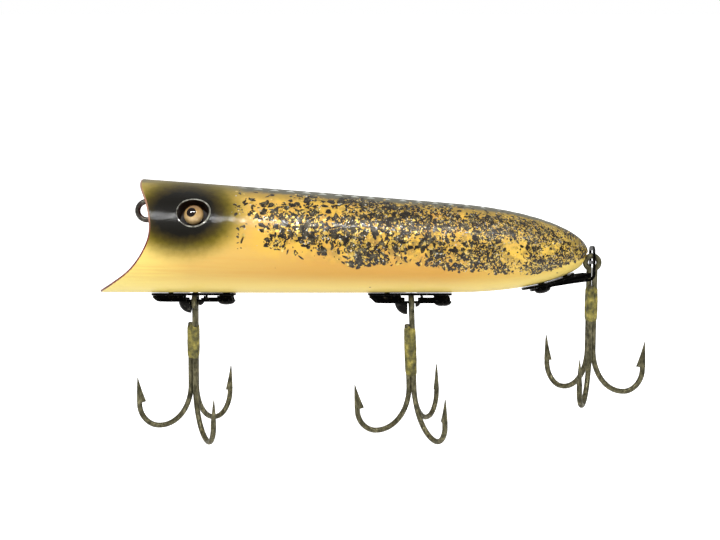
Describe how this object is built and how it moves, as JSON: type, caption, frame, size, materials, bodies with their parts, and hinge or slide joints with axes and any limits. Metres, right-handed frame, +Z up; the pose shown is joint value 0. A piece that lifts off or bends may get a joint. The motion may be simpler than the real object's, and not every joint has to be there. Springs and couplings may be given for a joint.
{
  "type": "topwater popper",
  "caption": "Wooden topwater popper with a scooped mouth, bead eyes, a screw-eye line tie, sheet-metal hook hangers and swinging treble hooks.",
  "frame": {"origin": "centre of the line tie's ring, in the mouth", "axes": "+X from the mouth to the tail, +Z up with the hooks hanging plumb, +Y completes the frame; the body lies back 15 degrees about X, its crown towards +Y"},
  "size_m": [0.1112, 0.0259, 0.0526],
  "materials": {
    "lacquered_wood": "gloss lacquer over sprayed enamel",
    "tan_glass": "polished",
    "black_glass": "polished",
    "soft_steel_wire": "tarnished",
    "blackened_nickel": "dark tarnished plating",
    "aged_hook_steel": "aged bronze-grey",
    "brass_braze": "dull"
  },
  "bodies": {
    "lure": {"body": "lacquered_wood", "left_eye_bead": "tan_glass", "left_eye_pupil": "black_glass", "left_eye_stem": "soft_steel_wire", "right_eye_bead": "tan_glass", "right_eye_pupil": "black_glass", "right_eye_stem": "soft_steel_wire", "line_tie": "soft_steel_wire", "front_hanger_plate": "blackened_nickel", "front_hanger_bar": "blackened_nickel", "front_hanger_screw_fore": "blackened_nickel", "front_hanger_screw_aft": "blackened_nickel", "mid_hanger_plate": "blackened_nickel", "mid_hanger_bar": "blackened_nickel", "mid_hanger_screw_fore": "blackened_nickel", "mid_hanger_screw_aft": "blackened_nickel", "tail_hanger_plate": "blackened_nickel", "tail_hanger_strap": "blackened_nickel", "tail_hanger_screw_fore": "blackened_nickel", "tail_hanger_screw_aft": "blackened_nickel"},
    "front_treble": {"front_treble_pair": "aged_hook_steel", "front_treble_single": "aged_hook_steel", "front_treble_braze": "brass_braze"},
    "mid_treble": {"mid_treble_pair": "aged_hook_steel", "mid_treble_single": "aged_hook_steel", "mid_treble_braze": "brass_braze"},
    "tail_treble": {"tail_treble_pair": "aged_hook_steel", "tail_treble_single": "aged_hook_steel", "tail_treble_braze": "brass_braze"}
  },
  "joints": [
    {"name": "front_treble_swing", "type": "hinge", "parent": "lure", "child": "front_treble", "pos_m": [0.00975, -0.00469, -0.01751], "axis": [1, 0, 0], "range_deg": [-100, 70]},
    {"name": "mid_treble_swing", "type": "hinge", "parent": "lure", "child": "mid_treble", "pos_m": [0.0533, -0.00477, -0.01782], "axis": [1, 0, 0], "range_deg": [-110, 80]},
    {"name": "tail_treble_swing", "type": "hinge", "parent": "lure", "child": "tail_treble", "pos_m": [0.08975, -0.0027, -0.01009], "axis": [0, -1, 0], "range_deg": [0, 135]}
  ]
}
